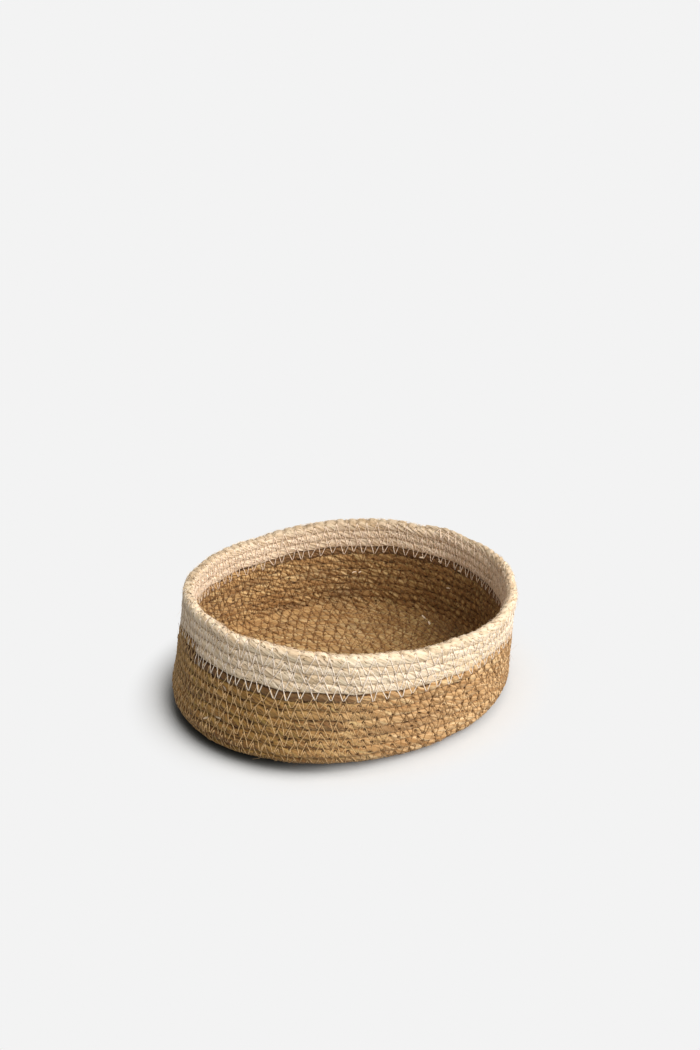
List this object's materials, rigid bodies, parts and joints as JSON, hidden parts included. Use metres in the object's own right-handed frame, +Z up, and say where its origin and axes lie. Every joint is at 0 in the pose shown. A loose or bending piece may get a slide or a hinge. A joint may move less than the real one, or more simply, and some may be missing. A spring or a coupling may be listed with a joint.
{
  "type": "oval coiled basket",
  "caption": "Open oval basket of rush rope, wound in one rising spiral and sewn with zigzag stitches, with a paler rope at the rim.",
  "frame": {"origin": "middle of the basket's box, on the surface that it stands on", "axes": "+Z up, +X along the oval towards the end where the wall is lower"},
  "size_m": [0.253, 0.1966, 0.0959],
  "materials": {
    "natural_rush": "dry natural rush rope, matt with a faint sheen along the leaves",
    "pale_rush": "bleached rush rope, matt",
    "white_thread": "white sewing thread",
    "tan_thread": "thin tan sewing thread"
  },
  "bodies": {
    "root": {"base_coil": "natural_rush", "wall_coil": "natural_rush", "rim_coil": "pale_rush", "wall_needle_thread": "tan_thread", "wall_bobbin_thread": "tan_thread", "rim_needle_thread": "white_thread", "rim_bobbin_thread": "white_thread"}
  },
  "joints": []
}
